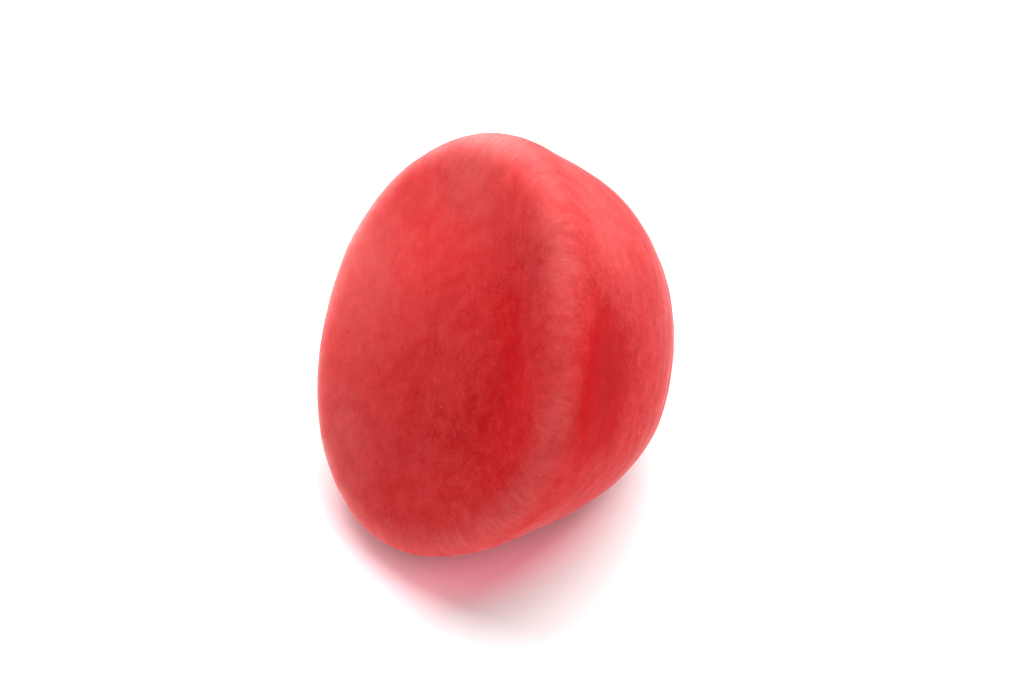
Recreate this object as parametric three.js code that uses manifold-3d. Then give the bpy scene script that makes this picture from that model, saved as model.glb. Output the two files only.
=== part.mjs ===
import * as THREE from "three";
import { mergeVertices } from "three/addons/utils/BufferGeometryUtils.js";
import Module from "manifold-3d";

// A gumdrop-shaped gummy vitamin. Sizes are in millimetres, angles in degrees.
// The gummy is shaped as it comes out of its mould, base down, crown up, long way of the crown
// along X. It is then turned onto its side, which is how it lies, and gets a small flat to lie on.

// The base is nearly round: a little oval, a little egg-shaped and a little square, each by a
// share of its size and turned by its own angle.
const baseSize = 19.3;
const baseOval = 0.033;
const baseOvalTurn = 20;
const baseEgg = 0.04;
const baseEggTurn = 0;
const baseSquare = 0.018;
const baseSquareTurn = 55;

// The rim turns under in a quarter oval, and drying has bent it like a saddle.
const rimInset = 1.6;
const rimHeight = 1.4;
const rimFlare = 0.3;
const flareReach = 2;
const rimWarp = 0.75;
const rimWarpTurn = 14;

// The base bulges softly in its middle, and on one side a groove follows the rim. A groove power
// of 1 lays it halfway from the middle to the rim, and a greater one lays it nearer the rim.
const bulgeHeight = 0.35;
const bulgePower = 1.5;
const grooveDepth = 0.52;
const groovePower = 1.75;
const grooveTurn = 108;
const grooveSpread = 70;

// The side rises in a bow from the rim to a blunt, oblong crown that leans to one corner.
const sideHeight = 12.2;
const sideBow = 1.37;
const crownLength = 11.5;
const crownWidth = 6.3;
const crownDome = 3.35;
const crownLeanLong = 1.9;
const crownLeanWide = -1;

// A shallow dent in the side: where it is around the axis and up the side, and its size.
const dentTurn = 108;
const dentRise = 0.4;
const dentDepth = 0.2;
const dentRadius = 3;

// The pose it lies in: a turn about its own axis, then a tip over about Y. The soft side is
// pressed flat where it lies, to this depth.
const rollAngle = 123.5;
const tipAngle = 124;
const restDepth = 0.4;

// Mesh fineness.
const sectors = 72;
const baseRings = 9;
const rimRings = 5;
const sideRings = 20;

const gummyMaterial = new THREE.MeshStandardMaterial({
  color: "#cf3a3c",
  roughness: 0.5,
  metalness: 0,
});

const { degToRad } = THREE.MathUtils;

const wasm = await Module();
wasm.setup();

// How far a curve has closed in after a share of its rise: 1 at the start, 0 at the end.
// Power 2 is a quarter circle, less is more pointed and more is blunter.
function closeIn(share, power) {
  return (1 - share ** power) ** (1 / power);
}

// A ring of the body: its height, its two half widths, how far it has risen towards the leaning
// crown, and how far out it lies between the middle of the base and the rim.
function sideRing(rise) {
  const height = rise * sideHeight;
  const taper = closeIn(rise, sideBow);
  const dome = closeIn(rise, crownDome);
  const flare = rimFlare * Math.exp(-((height / flareReach) ** 2));
  return {
    height: rimHeight + height,
    long: ((baseSize - crownLength) * taper + crownLength * dome) / 2 + flare,
    wide: ((baseSize - crownWidth) * taper + crownWidth * dome) / 2 + flare,
    lean: rise,
    share: 1,
  };
}

// The rim, from the side at 0 degrees to its lowest line at 90.
function rimRing(angle) {
  const edge = sideRing(0);
  const inset = rimInset * (1 - Math.cos(angle));
  return {
    height: rimHeight * (1 - Math.sin(angle)),
    long: edge.long - inset,
    wide: edge.wide - inset,
    lean: 0,
    share: 1,
  };
}

// The base, from its middle at share 0 to the rim's lowest line at 1.
function baseRing(share) {
  const lip = rimRing(Math.PI / 2);
  return {
    height: 0,
    long: lip.long * share,
    wide: lip.wide * share,
    lean: 0,
    share,
  };
}

function allRings() {
  const rings = [];
  for (let i = 0; i < baseRings; i += 1) {
    rings.push(baseRing(i / baseRings));
  }
  for (let i = rimRings; i > 0; i -= 1) {
    rings.push(rimRing((i / rimRings) * (Math.PI / 2)));
  }
  for (let i = 0; i <= sideRings; i += 1) {
    const quarter = (i / sideRings) * (Math.PI / 2);
    rings.push(sideRing(Math.sin(quarter) ** (2 / sideBow)));
  }
  return rings;
}

// A wave around the axis with so many crests, the first of them at the turn.
function wave(angle, crests, turn) {
  return Math.cos(crests * (angle - degToRad(turn)));
}

// How far the base lies inwards at a share of the way from its middle to the rim. It is negative
// where the base bulges out.
function sink(share, angle) {
  const bulge = bulgeHeight * (1 - share ** 2) ** bulgePower;
  const across = Math.sin(Math.PI * share ** groovePower) ** 2;
  const along = Math.exp((wave(angle, 1, grooveTurn) - 1) / degToRad(grooveSpread) ** 2);
  return grooveDepth * across * along - bulge;
}

// The point of a ring in one direction around the axis. The base's own form fades up the side.
function ringPoint(ring, angle) {
  const fade = 1 - ring.lean;
  const oval = baseOval * wave(angle, 2, baseOvalTurn);
  const egg = baseEgg * wave(angle, 3, baseEggTurn);
  const square = baseSquare * wave(angle, 4, baseSquareTurn);
  const swell = 1 + fade * (oval + egg + square);
  const warp = fade * ring.share ** 2 * rimWarp * wave(angle, 2, rimWarpTurn);
  return new THREE.Vector3(
    ring.long * swell * Math.cos(angle) + crownLeanLong * ring.lean,
    ring.wide * swell * Math.sin(angle) + crownLeanWide * ring.lean,
    ring.height + warp + sink(ring.share, angle),
  );
}

// A soft hollow pressed into the side, straight towards the axis.
function pressDent(points) {
  const angle = degToRad(dentTurn);
  const centre = ringPoint(sideRing(dentRise), angle);
  const inward = new THREE.Vector3(-Math.cos(angle), -Math.sin(angle), 0);
  for (let i = 0; i < points.count; i += 1) {
    const point = new THREE.Vector3().fromBufferAttribute(points, i);
    const depth = dentDepth * Math.exp(-point.distanceToSquared(centre) / dentRadius ** 2);
    point.addScaledVector(inward, depth);
    points.setXYZ(i, point.x, point.y, point.z);
  }
}

// A lathe of unit radius gives the rings, and each one is then stretched to its own place.
function mouldedShape() {
  const rings = allRings();
  const profile = rings.map((ring, i) => {
    const onAxis = i === 0 || i === rings.length - 1;
    return new THREE.Vector2(onAxis ? 0 : 1, ring.height);
  });
  const geometry = new THREE.LatheGeometry(profile, sectors);
  const points = geometry.attributes.position;
  for (let i = 0; i < points.count; i += 1) {
    const angle = Math.atan2(-points.getZ(i), points.getX(i));
    const point = ringPoint(rings[i % rings.length], angle);
    points.setXYZ(i, point.x, point.y, point.z);
  }
  pressDent(points);
  return geometry;
}

// Shared vertices are merged, and the triangles that the poles left without area are dropped.
function toSolid(geometry) {
  const bare = geometry.clone();
  bare.deleteAttribute("normal");
  bare.deleteAttribute("uv");
  const merged = mergeVertices(bare);
  const corners = merged.index.array;
  const triangles = [];
  for (let i = 0; i < corners.length; i += 3) {
    const [a, b, c] = corners.slice(i, i + 3);
    if (a !== b && b !== c && c !== a) {
      triangles.push(a, b, c);
    }
  }
  const mesh = new wasm.Mesh({
    numProp: 3,
    vertProperties: new Float32Array(merged.attributes.position.array),
    triVerts: new Uint32Array(triangles),
  });
  return new wasm.Manifold(mesh);
}

function toGeometry(solid) {
  const mesh = solid.getMesh();
  const geometry = new THREE.BufferGeometry();
  geometry.setAttribute("position", new THREE.BufferAttribute(mesh.vertProperties, 3));
  geometry.setIndex(new THREE.BufferAttribute(mesh.triVerts, 1));
  return geometry;
}

// Everything under the floor plane is cut off, and the middle of the flat becomes the origin.
function restOnFlat(geometry) {
  geometry.computeBoundingBox();
  const { min, max } = geometry.boundingBox;
  const floor = min.z + restDepth;
  const slab = new THREE.BoxGeometry(4 * (max.x - min.x), 4 * (max.y - min.y), 2 * restDepth);
  slab.translate(0, 0, floor - restDepth);
  const cut = toGeometry(toSolid(geometry).subtract(toSolid(slab)));
  cut.translate(0, 0, -floor);
  const flat = new THREE.Box3();
  const points = cut.attributes.position;
  for (let i = 0; i < points.count; i += 1) {
    const point = new THREE.Vector3().fromBufferAttribute(points, i);
    if (Math.abs(point.z) < 0.001) {
      flat.expandByPoint(point);
    }
  }
  const middle = flat.getCenter(new THREE.Vector3());
  cut.translate(-middle.x, -middle.y, 0);
  cut.computeVertexNormals();
  return cut;
}

const shape = mouldedShape();
shape.rotateZ(degToRad(rollAngle));
shape.rotateY(degToRad(tipAngle));

const gummyBody = new THREE.Mesh(restOnFlat(shape), gummyMaterial);
gummyBody.name = "gummy_body";

const group = new THREE.Group();
group.add(gummyBody);

export default group;
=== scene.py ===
import bpy
import math
from mathutils import Matrix, Vector, kdtree


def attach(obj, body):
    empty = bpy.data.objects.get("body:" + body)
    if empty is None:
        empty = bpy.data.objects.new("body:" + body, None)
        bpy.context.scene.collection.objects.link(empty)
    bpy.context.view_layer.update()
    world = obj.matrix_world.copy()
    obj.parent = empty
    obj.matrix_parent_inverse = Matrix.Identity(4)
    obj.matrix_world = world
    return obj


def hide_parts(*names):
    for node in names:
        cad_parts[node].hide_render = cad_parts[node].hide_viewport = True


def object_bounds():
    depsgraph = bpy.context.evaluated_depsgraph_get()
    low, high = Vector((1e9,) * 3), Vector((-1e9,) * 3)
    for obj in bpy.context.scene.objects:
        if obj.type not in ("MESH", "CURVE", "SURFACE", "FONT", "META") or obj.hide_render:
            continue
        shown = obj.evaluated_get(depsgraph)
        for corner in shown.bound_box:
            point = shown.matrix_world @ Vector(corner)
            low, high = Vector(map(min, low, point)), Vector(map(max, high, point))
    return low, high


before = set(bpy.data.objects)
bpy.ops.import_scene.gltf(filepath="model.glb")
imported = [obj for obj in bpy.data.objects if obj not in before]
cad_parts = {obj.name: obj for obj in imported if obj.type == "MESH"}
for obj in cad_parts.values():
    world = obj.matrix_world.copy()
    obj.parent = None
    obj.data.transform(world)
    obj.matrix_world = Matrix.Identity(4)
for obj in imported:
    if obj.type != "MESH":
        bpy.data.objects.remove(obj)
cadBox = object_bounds()

millimetre = 0.001


def report(stage):
    print("stage:", stage)


def pickOnly(piece):
    bpy.ops.object.select_all(action="DESELECT")
    piece.select_set(True)
    bpy.context.view_layer.objects.active = piece


def applyModifier(piece, kind, **settings):
    pickOnly(piece)
    bpy.ops.object.modifier_add(type=kind)
    modifier = piece.modifiers[-1]
    for name, value in settings.items():
        setattr(modifier, name, value)
    bpy.ops.object.modifier_apply(modifier=modifier.name)


def setPlace(piece, place):
    # puts the piece there for good, so that its object is at the origin, unturned
    pickOnly(piece)
    piece.matrix_world = place
    bpy.ops.object.transform_apply(location=True, rotation=True, scale=True)


# The gummy is shaped standing upright in its mould frame, base down with its middle at the
# origin and its own axis along Z, and is laid on its side at the end.

gummyShape = {
    "rollAngle": 123.5,      # degrees about its own axis, as it lies
    "tipAngle": 124,         # degrees over onto its side
    "mergeGap": 0.0005,      # mm between corners that are one
    "cubeSide": 26,          # mm, of the cube that becomes a ball round the solid
    "cubeHeight": 5.2,       # mm of its middle above the base
    "cutsPerSide": 29,
    "roundings": 2,
    "rimRadius": 9.5,        # mm, for the wrinkles
    "rimReach": 0.78,        # mm to both sides of its middle line, for the frost and the painted highlight
    "rimFacing": -0.65,      # where its middle line faces, from -1 downwards to 0 sideways
    "rimFacingSlack": 0.1,   # how far from that a point of the line may face
    "wrinkleLength": 3,      # times as long across the rim as they are wide
}

layTurn = (
    Matrix.Rotation(math.radians(gummyShape["tipAngle"]), 4, "Y")
    @ Matrix.Rotation(math.radians(gummyShape["rollAngle"]), 4, "Z")
)


def meshCorners(piece):
    points = [v.co for v in piece.data.vertices]
    low = Vector([min(p[i] for p in points) for i in range(3)])
    high = Vector([max(p[i] for p in points) for i in range(3)])
    return low, high


def standUpright():
    # a merged copy of the solid, stood on its base; also gives how to lay it down again
    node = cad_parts["gummy_body"]
    solid = node.copy()
    solid.data = node.data.copy()
    solid.parent = None
    bpy.context.collection.objects.link(solid)
    solid.name = "uprightSolid"
    pickOnly(solid)
    bpy.ops.object.mode_set(mode="EDIT")
    bpy.ops.mesh.select_all(action="SELECT")
    bpy.ops.mesh.remove_doubles(threshold=gummyShape["mergeGap"] * millimetre)
    bpy.ops.object.mode_set(mode="OBJECT")
    setPlace(solid, layTurn.inverted())
    low, high = meshCorners(solid)
    baseCentre = Vector(((low.x + high.x) / 2, (low.y + high.y) / 2, low.z))
    setPlace(solid, Matrix.Translation(-baseCentre))
    return solid, layTurn @ Matrix.Translation(baseCentre)


def drawOntoSolid(solid):
    # a cube of even squares, made a ball, pulled in onto the solid and rounded
    shape = gummyShape
    bpy.ops.object.select_all(action="DESELECT")
    bpy.ops.mesh.primitive_cube_add(
        size=shape["cubeSide"] * millimetre,
        location=(0, 0, shape["cubeHeight"] * millimetre),
    )
    gummy = bpy.context.object
    gummy.name = "gummyBody"
    bpy.ops.object.mode_set(mode="EDIT")
    bpy.ops.mesh.select_all(action="SELECT")
    bpy.ops.mesh.subdivide(number_cuts=shape["cutsPerSide"])
    bpy.ops.transform.tosphere(value=1)
    bpy.ops.object.mode_set(mode="OBJECT")
    bpy.ops.object.transform_apply(location=True, rotation=True, scale=True)
    applyModifier(
        gummy, "SHRINKWRAP",
        target=solid, wrap_method="PROJECT",
        use_negative_direction=True, use_positive_direction=False,
    )
    roundings = shape["roundings"]
    applyModifier(gummy, "SUBSURF", levels=roundings, render_levels=roundings)
    return gummy


def softSpot(point, spot):
    # 1 in the middle of the spot, which is an ellipsoid, and fading to 0 outside it
    away = point - Vector(spot["place"])
    away = Vector([away[i] / spot["size"][i] for i in range(3)])
    return math.exp(-away.length_squared)


def mapAroundRim(gummy):
    # a flat map in mm around the rim, with the way across the rim drawn together, for wrinkles
    shape = gummyShape
    flat = gummy.data.uv_layers.new(name="aroundRim")
    for loop in gummy.data.loops:
        point = gummy.data.vertices[loop.vertex_index].co / millimetre
        radius = math.hypot(point.x, point.y) or 1      # so that the axis itself has a place too
        reach = shape["rimRadius"] + (point.z - radius) / shape["wrinkleLength"]
        flat.data[loop.index].uv = (point.x / radius * reach, point.y / radius * reach)


def markRim(gummy):
    # 1 on the middle line of the rim, fading to 0 beside it
    shape = gummyShape
    slack = shape["rimFacingSlack"]
    vertices = gummy.data.vertices
    line = [v.co for v in vertices if abs(v.normal.z - shape["rimFacing"]) < slack]
    tree = kdtree.KDTree(len(line))
    for number, point in enumerate(line):
        tree.insert(point, number)
    tree.balance()
    values = gummy.data.attributes.new("rim", "FLOAT", "POINT").data
    for v in vertices:
        away = tree.find(v.co)[2] / millimetre / shape["rimReach"]
        values[v.index].value = math.exp(-away ** 2)


# Places, sizes and heights are mm in the mould frame. The first three patterns stand out as much
# as they go in, and a crease only goes in.
gummyRelief = {
    "swellings": {"size": 5, "height": 0.16},
    "leather": {"size": 0.9, "height": 0.035},
    "grain": {"size": 0.35, "height": 0.012},
    "creases": [
        {"place": (0, 0.4, 0.7), "size": (3, 0.55, 2), "height": -0.05},
        {"place": (0.2, 3.2, 0.7), "size": (4, 0.7, 2), "height": -0.04},
        {"place": (1.5, -5.2, 0.7), "size": (2.4, 0.6, 2), "height": -0.05},
    ],
    "faintest": 0.01,        # share of a crease below which it is left out
}


def roughen(gummy, name):
    texture = bpy.data.textures.new(name, "CLOUDS")
    texture.noise_scale = gummyRelief[name]["size"] * millimetre
    applyModifier(
        gummy, "DISPLACE",
        texture=texture, texture_coords="LOCAL",
        strength=gummyRelief[name]["height"] * millimetre,
    )


def press(gummy, name, spot):
    group = gummy.vertex_groups.new(name=name)
    for v in gummy.data.vertices:
        weight = softSpot(v.co / millimetre, spot)
        if weight > gummyRelief["faintest"]:
            group.add([v.index], weight, "REPLACE")
    applyModifier(
        gummy, "DISPLACE",
        vertex_group=name, strength=spot["height"] * millimetre, mid_level=0,
    )


def flattenUnderside(gummy):
    # what the relief pushed through the table lies on it
    pickOnly(gummy)
    for v in gummy.data.vertices:
        v.select = v.co.z < 0
    for e in gummy.data.edges:
        e.select = all(gummy.data.vertices[i].select for i in e.vertices)
    for f in gummy.data.polygons:
        f.select = all(gummy.data.vertices[i].select for i in f.vertices)
    bpy.ops.object.mode_set(mode="EDIT")
    bpy.ops.transform.resize(value=(1, 1, 0), center_override=(0, 0, 0))
    bpy.ops.object.mode_set(mode="OBJECT")


# What is painted onto the jelly: how frosted it is, how much more so on its rim, and how dark
# its red is. The frost also paints sheen and glow on the pale face and rim and shade in the dark
# places, and the red paints the glow of light through thin parts and the shade where little gets
# through. Where a frost amount is below 0 the spot is less pale than the rest, and where a red
# amount is, its red is lighter.
# Places and sizes are mm in the mould frame.
paint = {
    # pale where frost lies and where sheen and glow are painted on the far face and top; darker
    # where shade is painted in the groove and on the side
    "frostAndPaintedLight": {
        "allOver": 0.06,
        "spots": {
            "farFace": {"place": (5.5, -6, 0.5), "size": (4, 4, 3), "amount": 0.25},
            "topFace": {"place": (8, 2.5, 1.5), "size": (3, 3, 2), "amount": 0.15},
            "leftFace": {"place": (-3, -8, 0.8), "size": (5, 2.5, 3), "amount": 0.15},
            "groove": {"place": (-2, 5.8, 0.8), "size": (4.5, 1.6, 2), "amount": -0.06},
            "hollow": {"place": (-6, 3, 1), "size": (3, 3, 2), "amount": -0.05},
            # painted shade on the side that turns away from the light, with some frost rubbed off
            "rubbedAndShadedSide": {"place": (-4, 8.3, 3.8), "size": (3, 3, 2), "amount": -0.2},
            "topSide": {"place": (4, 7.8, 4.5), "size": (3.5, 3, 3), "amount": 0.1},
            "crownEdge": {"place": (0.5, 5.5, 10.5), "size": (4, 3, 2), "amount": 0.05},
        },
    },
    # frost along the rim, with a painted highlight on its middle line and painted sheen on the far
    # rim
    "rimFrostAndPaintedLight": {
        "allOver": 0.15,
        "spots": {
            "farRim": {"place": (7, -6.5, 1), "size": (5, 4, 3), "amount": 0.55},
            "topRim": {"place": (9, 3, 1.8), "size": (3, 4, 2.5), "amount": 0.15},
            "leftRim": {"place": (-2, -9, 0.8), "size": (5, 3, 3), "amount": 0.35},
            "nearRim": {"place": (-3, 8.8, 0.3), "size": (2.5, 2, 1.5), "amount": -0.05},
        },
    },
    # how dark the red is: painted glow where light comes through the thin top and edges, painted
    # shade where little comes through, over the jelly's own tone
    "toneAndPaintedShade": {
        "allOver": 0.5,
        "spots": {
            "thinTop": {"place": (5.5, -1, 1), "size": (3, 3.5, 2.5), "amount": -0.35},
            "topGroove": {"place": (6.3, 4.8, 1.2), "size": (3, 2.5, 2), "amount": -0.25},
            "thinEdge": {"place": (4, -6.5, 0.5), "size": (5, 3.5, 3), "amount": -0.3},
            "groove": {"place": (-2, 5.8, 0.8), "size": (4.5, 1.8, 2), "amount": -0.1},
            "hollow": {"place": (-6.5, 3, 1), "size": (3.5, 3, 3), "amount": 0.05},
            "nearRim": {"place": (2, 9, 1), "size": (3, 1.6, 2), "amount": 0.2},
            "topSide": {"place": (7, 6, 5), "size": (4.5, 4, 4), "amount": 0.25},
            "topRim": {"place": (9.6, 1, 1.8), "size": (1.6, 4.5, 2), "amount": 0.1},
            "crown": {"place": (1, 5, 10), "size": (5, 4, 4), "amount": 0.2},
            "side": {"place": (-3, 8.2, 4), "size": (4, 3, 3), "amount": 0.35},
        },
    },
}


def paintOn(gummy, name):
    values = gummy.data.attributes.new(name, "FLOAT", "POINT").data
    for v in gummy.data.vertices:
        point = v.co / millimetre
        spots = paint[name]["spots"].values()
        painted = sum(spot["amount"] * softSpot(point, spot) for spot in spots)
        values[v.index].value = paint[name]["allOver"] + painted


solid, layDown = standUpright()
gummy = drawOntoSolid(solid)
bpy.data.objects.remove(solid)
report("gummy drawn onto its solid")

mapAroundRim(gummy)
markRim(gummy)
roughen(gummy, "swellings")
for number, crease in enumerate(gummyRelief["creases"], 1):
    press(gummy, "crease" + str(number), crease)
roughen(gummy, "leather")
roughen(gummy, "grain")
for name in paint:
    paintOn(gummy, name)
setPlace(gummy, layDown)
flattenUnderside(gummy)
bpy.ops.object.shade_smooth()
report("gummy shaped and laid down")

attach(gummy, "root")
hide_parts("gummy_body")


jelly = {
    "clearRed": (0.66, 0.011, 0.013, 1),
    # the darker red, blended in for the jelly's tone and for painted shade
    "shadedRed": (0.24, 0.003, 0.005, 1),
    # the pale red of frost, which also paints sheen, glow and the rim's highlight
    "frostAndSheenRed": (0.75, 0.29, 0.28, 1),
    "lightDepth": 3.4,               # mm that red light goes in
    "lightDepths": (1, 0.3, 0.3),    # shares of it for red, green and blue
    "roughness": 0.5,
    "frostRoughness": 0.4,           # what full frost adds to it
    "gloss": 0.01,
    "sheen": 0.3,
    "sheenRoughness": 0.2,
    "sheenTint": (1, 0.7, 0.7, 1),
    # sizes are in mm, and each frost amount is how much frost the pattern makes
    "bloom": {"size": 0.8, "detail": 4, "roughness": 0.75, "frostAndPaintedLight": 0.16},
    "grain": {"size": 0.18, "detail": 2, "roughness": 0.8, "frostAndPaintedLight": 0.16},
    "wrinkles": {"size": 0.22, "detail": 2, "roughness": 0.5, "frostAndPaintedLight": 0.32},
    "streaks": {"size": 0.5, "detail": 2, "roughness": 0.5, "frostAndPaintedLight": 0.035},
    "streakLength": 4,               # times as long as they are wide
    "clouds": {"size": 1.1, "detail": 3, "roughness": 0.6},
    "cloudFrost": 0.9,               # how much they thin and thicken the frost and its painted light under the rest
    "wrinklesFrom": (-0.1, 0.2),     # a cloud value, and the share of the wrinkles that shows there
    "wrinklesTo": (0.15, 1),
    "specks": {"size": 0.1, "spacing": 0.7, "frostAndPaintedLight": 0.16},
    "specksFrom": (0.4, 0),          # a cell's random grey, and the share of its speck that shows
    "specksTo": (0.6, 1),
    "bloomTone": -0.6,              # what the bloom adds to the darkness of the red
    "bumpHeight": 0.03,              # mm of the bloom
    "wrinkleBump": 2,                # times as much as the bloom
    "speckBump": 0.5,
}


def makeJelly():
    material = bpy.data.materials.new("frostedJelly")
    material.use_nodes = True
    tree = material.node_tree
    shader = tree.nodes["Principled BSDF"]
    made = []

    def node(kind, **settings):
        new = tree.nodes.new("ShaderNode" + kind)
        new.location = (180 * (len(made) // 4) - 2600, -260 * (len(made) % 4))
        made.append(new)
        for name, value in settings.items():
            setattr(new, name, value)
        return new

    def feed(socket, value):
        if isinstance(value, bpy.types.NodeSocket):
            tree.links.new(value, socket)
        else:
            socket.default_value = value

    def compute(operation, *values, clamp=False):
        new = node("Math", operation=operation, use_clamp=clamp)
        for socket, value in zip(new.inputs, values):
            feed(socket, value)
        return new.outputs[0]

    def fade(value, start, end):
        # start and end are each a value and what it becomes, with a soft change between them
        new = node("MapRange", interpolation_type="SMOOTHSTEP")
        feed(new.inputs["Value"], value)
        new.inputs["From Min"].default_value, new.inputs["To Min"].default_value = start
        new.inputs["From Max"].default_value, new.inputs["To Max"].default_value = end
        return new.outputs["Result"]

    def noise(where, pattern):
        # from about -0.5 to 0.5
        new = node("TexNoise")
        feed(new.inputs["Vector"], where)
        new.inputs["Scale"].default_value = 1 / pattern["size"]
        new.inputs["Detail"].default_value = pattern["detail"]
        new.inputs["Roughness"].default_value = pattern["roughness"]
        return compute("SUBTRACT", new.outputs["Fac"], 0.5)

    def blend(amount, one, other):
        new = node("Mix", data_type="RGBA")
        feed(new.inputs["Factor"], amount)
        feed(new.inputs[6], one)
        feed(new.inputs[7], other)
        return new.outputs[2]

    coordinates = node("TexCoord")
    inMould = node("Mapping", vector_type="TEXTURE")
    feed(inMould.inputs["Vector"], coordinates.outputs["Object"])
    inMould.inputs["Location"].default_value = layDown.translation
    inMould.inputs["Rotation"].default_value = layDown.to_euler()
    inMould.inputs["Scale"].default_value = (millimetre, millimetre, millimetre)
    place = inMould.outputs["Vector"]
    drawnOut = node("Mapping")
    feed(drawnOut.inputs["Vector"], place)
    drawnOut.inputs["Scale"].default_value = (1 / jelly["streakLength"], 1, 1)
    around = node("UVMap", uv_map="aroundRim").outputs["UV"]
    # the painted frost with its painted light, the rim's frost with its painted highlight and
    # sheen, the painted tone and shade, and the rim's middle line
    frostAndPaintedLight, rimFrostAndPaintedLight, toneAndPaintedShade, onRim = (
        node("Attribute", attribute_name=name).outputs["Fac"]
        for name in ("frostAndPaintedLight", "rimFrostAndPaintedLight", "toneAndPaintedShade", "rim")
    )

    bloom = noise(place, jelly["bloom"])
    grain = noise(place, jelly["grain"])
    streaks = noise(drawnOut.outputs["Vector"], jelly["streaks"])
    clouds = noise(place, jelly["clouds"])
    wrinkled = compute("MULTIPLY", onRim, fade(clouds, jelly["wrinklesFrom"], jelly["wrinklesTo"]))
    wrinkles = compute("MULTIPLY", noise(around, jelly["wrinkles"]), wrinkled)

    # pale specks: painted glints of tiny bumps, each with a small bump of its own
    spacing = jelly["specks"]["spacing"]
    cells = node("TexVoronoi")
    feed(cells.inputs["Vector"], place)
    cells.inputs["Scale"].default_value = 1 / spacing
    inMiddle = fade(cells.outputs["Distance"], (0, 1), (jelly["specks"]["size"] / spacing, 0))
    inSomeCells = fade(cells.outputs["Color"], jelly["specksFrom"], jelly["specksTo"])
    specks = compute("MULTIPLY", inMiddle, inSomeCells)

    # frost, with the sheen, glow, highlight and shade painted into it, then its patterns
    frostAndPaintedLight = compute("MULTIPLY_ADD", onRim, rimFrostAndPaintedLight, frostAndPaintedLight)
    frostAndPaintedLight = compute("MULTIPLY", frostAndPaintedLight, compute("MULTIPLY_ADD", clouds, jelly["cloudFrost"], 1))
    frostAndPaintedLight = compute("MULTIPLY_ADD", bloom, jelly["bloom"]["frostAndPaintedLight"], frostAndPaintedLight)
    frostAndPaintedLight = compute("MULTIPLY_ADD", grain, jelly["grain"]["frostAndPaintedLight"], frostAndPaintedLight)
    frostAndPaintedLight = compute("MULTIPLY_ADD", wrinkles, jelly["wrinkles"]["frostAndPaintedLight"], frostAndPaintedLight)
    frostAndPaintedLight = compute("MULTIPLY_ADD", streaks, jelly["streaks"]["frostAndPaintedLight"], frostAndPaintedLight)
    frostAndPaintedLight = compute("MULTIPLY_ADD", specks, jelly["specks"]["frostAndPaintedLight"], frostAndPaintedLight, clamp=True)

    # the red made darker where shade is painted and lighter where glow is, with the bloom's random
    # tone, and the pale frost red over it
    toneAndPaintedShade = compute("MULTIPLY_ADD", bloom, jelly["bloomTone"], toneAndPaintedShade, clamp=True)
    redWithPaintedShade = blend(toneAndPaintedShade, jelly["clearRed"], jelly["shadedRed"])
    feed(shader.inputs["Base Color"], blend(frostAndPaintedLight, redWithPaintedShade, jelly["frostAndSheenRed"]))

    height = compute("MULTIPLY_ADD", wrinkles, jelly["wrinkleBump"], bloom)
    height = compute("MULTIPLY_ADD", specks, jelly["speckBump"], height)
    bump = node("Bump")
    feed(bump.inputs["Height"], height)
    bump.inputs["Distance"].default_value = jelly["bumpHeight"] * millimetre
    feed(shader.inputs["Normal"], bump.outputs["Normal"])

    roughness = compute("MULTIPLY_ADD", frostAndPaintedLight, jelly["frostRoughness"], jelly["roughness"])
    feed(shader.inputs["Roughness"], roughness)
    shader.inputs["Subsurface Weight"].default_value = 1
    shader.inputs["Subsurface Scale"].default_value = jelly["lightDepth"] * millimetre
    shader.inputs["Subsurface Radius"].default_value = jelly["lightDepths"]
    shader.inputs["Specular IOR Level"].default_value = jelly["gloss"]
    shader.inputs["Sheen Weight"].default_value = jelly["sheen"]
    shader.inputs["Sheen Roughness"].default_value = jelly["sheenRoughness"]
    shader.inputs["Sheen Tint"].default_value = jelly["sheenTint"]
    return material


gummy.data.materials.append(makeJelly())
report("jelly made")


# Lengths are in m, angles in degrees and powers in W. Only the lens is in mm.
room = {
    "tableSize": 3,
    "tableWhite": (0.9, 0.9, 0.9, 1),
    "skyWhite": (1, 1, 1, 1),
    "skyStrength": 0.65,
    "lampPower": 8.7,
    "lampSize": 0.8,
    "lampDistance": 0.6,
    "lampAzimuth": 128,
    "lampElevation": 61,
    "glowPower": 0.00022,
    "glowRed": (1, 0.015, 0.16),
    "glowPlace": (-0.0025, -0.0012, 0.0012),
    "glowSize": (0.017, 0.011),
    "glowTurn": 11,
}
view = {
    "azimuth": -22.7,
    "elevation": 47.4,
    "roll": 2.0,
    "distance": 0.363,
    "lens": 270,
}


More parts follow.
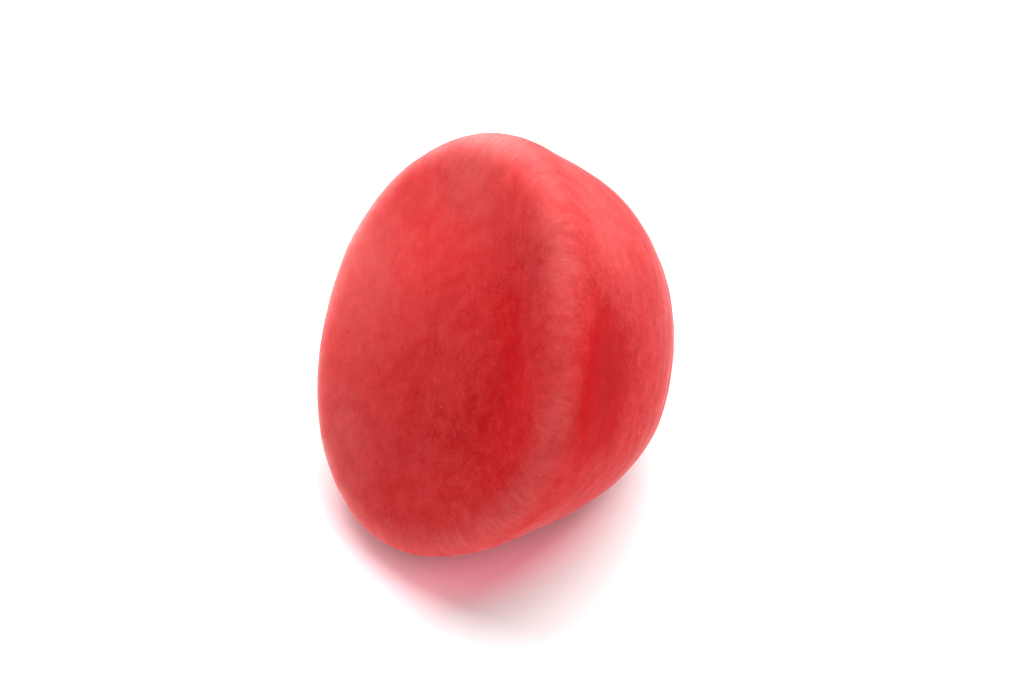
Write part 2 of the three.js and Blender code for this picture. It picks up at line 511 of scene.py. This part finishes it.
def wayBack(azimuth, elevation):
    # the way from the gummy back to a viewer, who at azimuth 0 looks along +Y
    level = math.cos(math.radians(elevation))
    return Vector((
        math.sin(math.radians(azimuth)) * level,
        -math.cos(math.radians(azimuth)) * level,
        math.sin(math.radians(elevation)),
    ))


def makeTable():
    bpy.ops.object.select_all(action="DESELECT")
    bpy.ops.mesh.primitive_plane_add(size=room["tableSize"])
    table = bpy.context.object
    table.name = "table"
    material = bpy.data.materials.new("paleTable")
    material.use_nodes = True
    shader = material.node_tree.nodes["Principled BSDF"]
    shader.inputs["Base Color"].default_value = room["tableWhite"]
    table.data.materials.append(material)


def makeLight():
    world = bpy.data.worlds.new("softRoom")
    world.use_nodes = True
    sky = world.node_tree.nodes["Background"]
    sky.inputs["Color"].default_value = room["skyWhite"]
    sky.inputs["Strength"].default_value = room["skyStrength"]
    bpy.context.scene.world = world
    way = wayBack(room["lampAzimuth"], room["lampElevation"])
    bpy.ops.object.light_add(type="AREA", location=way * room["lampDistance"])
    lamp = bpy.context.object
    lamp.name = "softLamp"
    lamp.rotation_euler = way.to_track_quat("Z", "Y").to_euler()
    lamp.data.energy = room["lampPower"]
    lamp.data.size = room["lampSize"]


def makeGlow():
    # stands in for the red light that the jelly lets through onto the table around it
    bpy.ops.object.light_add(type="AREA", location=room["glowPlace"])
    glow = bpy.context.object
    glow.name = "redGlow"
    glow.rotation_euler = (0, 0, math.radians(room["glowTurn"]))
    glow.visible_camera = False
    glow.data.shape = "ELLIPSE"
    glow.data.size, glow.data.size_y = room["glowSize"]
    glow.data.energy = room["glowPower"]
    glow.data.color = room["glowRed"]


def makeCamera():
    back = wayBack(view["azimuth"], view["elevation"])
    aim = (cadBox[0] + cadBox[1]) / 2
    turn = (-back).to_track_quat("-Z", "Y").to_matrix().to_4x4()
    roll = Matrix.Rotation(math.radians(-view["roll"]), 4, "Z")
    bpy.ops.object.camera_add()
    camera = bpy.context.object
    camera.matrix_world = Matrix.Translation(aim + back * view["distance"]) @ turn @ roll
    camera.data.lens = view["lens"]
    bpy.context.scene.camera = camera
    bpy.context.scene.view_settings.view_transform = "Standard"


makeTable()
makeLight()
makeGlow()
makeCamera()
report("table, light and camera placed")
